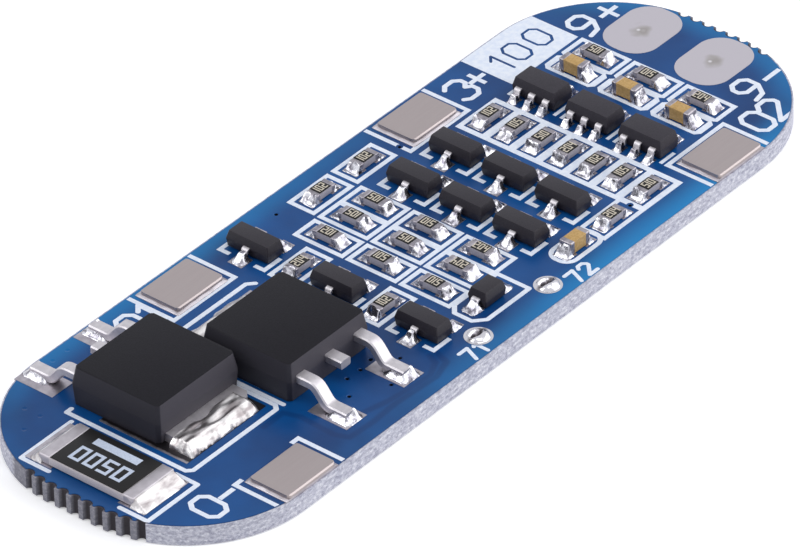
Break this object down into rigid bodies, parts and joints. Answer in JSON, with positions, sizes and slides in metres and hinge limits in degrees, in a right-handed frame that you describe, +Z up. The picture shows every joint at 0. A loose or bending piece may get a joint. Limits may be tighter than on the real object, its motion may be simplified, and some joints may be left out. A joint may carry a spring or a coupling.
{
  "type": "battery management board",
  "caption": "Round-ended blue battery management board with power transistors, a current shunt, cell-monitor channels and nickel tabs for welding to the cells.",
  "frame": {"origin": "middle of the board's underside, where it rests", "axes": "+X along the board from the shunt end to the output pads, +Y across it towards the back row of cell tabs, +Z up out of the component side"},
  "size_m": [0.053, 0.018, 0.0035],
  "materials": {
    "board_laminate": "cut glass-fibre epoxy, matt",
    "solder_mask": "semi-gloss lacquer",
    "legend_ink": "matt ink",
    "tinned_copper": "satin tin over copper",
    "nickel": "satin rolled nickel",
    "mould_compound": "matt moulded epoxy",
    "lead_tin": "satin tin plating",
    "solder": "bright frozen solder",
    "white_ceramic": "matt alumina",
    "terminal_tin": "satin tin plating",
    "black_glaze": "glossy protective glaze",
    "tan_ceramic": "matt ceramic"
  },
  "bodies": {
    "root": {"board_laminate": "board_laminate", "mask_top": "solder_mask", "mask_bottom": "solder_mask", "legend_print": "legend_ink", "pad_p_plus": "tinned_copper", "pad_p_minus": "tinned_copper", "pads_cell_tabs": "tinned_copper", "pads_parts": "tinned_copper", "cell_tab_0": "nickel", "cell_tab_1": "nickel", "cell_tab_2": "nickel", "cell_tab_3": "nickel", "mosfet_a_case": "mould_compound", "mosfet_a_slug": "lead_tin", "mosfet_a_leads": "lead_tin", "mosfet_b_case": "mould_compound", "mosfet_b_slug": "lead_tin", "mosfet_b_leads": "lead_tin", "solder_mosfet_a": "solder", "solder_mosfet_b": "solder", "shunt_core": "white_ceramic", "shunt_caps": "terminal_tin", "shunt_glaze": "black_glaze", "solder_shunt": "solder", "transistor_1_case": "mould_compound", "transistor_2_case": "mould_compound", "transistor_3_case": "mould_compound", "transistor_4_case": "mould_compound", "transistor_5_case": "mould_compound", "transistor_6_case": "mould_compound", "transistor_7_case": "mould_compound", "transistor_8_case": "mould_compound", "transistor_9_case": "mould_compound", "transistor_1_leads": "lead_tin", "transistor_2_leads": "lead_tin", "transistor_3_leads": "lead_tin", "transistor_4_leads": "lead_tin", "transistor_5_leads": "lead_tin", "transistor_6_leads": "lead_tin", "transistor_7_leads": "lead_tin", "transistor_8_leads": "lead_tin", "transistor_9_leads": "lead_tin", "monitor_1_case": "mould_compound", "monitor_2_case": "mould_compound", "monitor_3_case": "mould_compound", "monitor_1_leads": "lead_tin", "monitor_2_leads": "lead_tin", "monitor_3_leads": "lead_tin", "resistor_cores": "white_ceramic", "resistor_caps": "terminal_tin", "resistor_glazes": "black_glaze", "capacitor_cores": "tan_ceramic", "capacitor_caps": "terminal_tin", "diode_case": "mould_compound", "diode_leads": "lead_tin", "solder_chips": "solder", "solder_leads": "solder", "sense_joint_1": "solder", "sense_joint_2": "solder"}
  },
  "joints": []
}
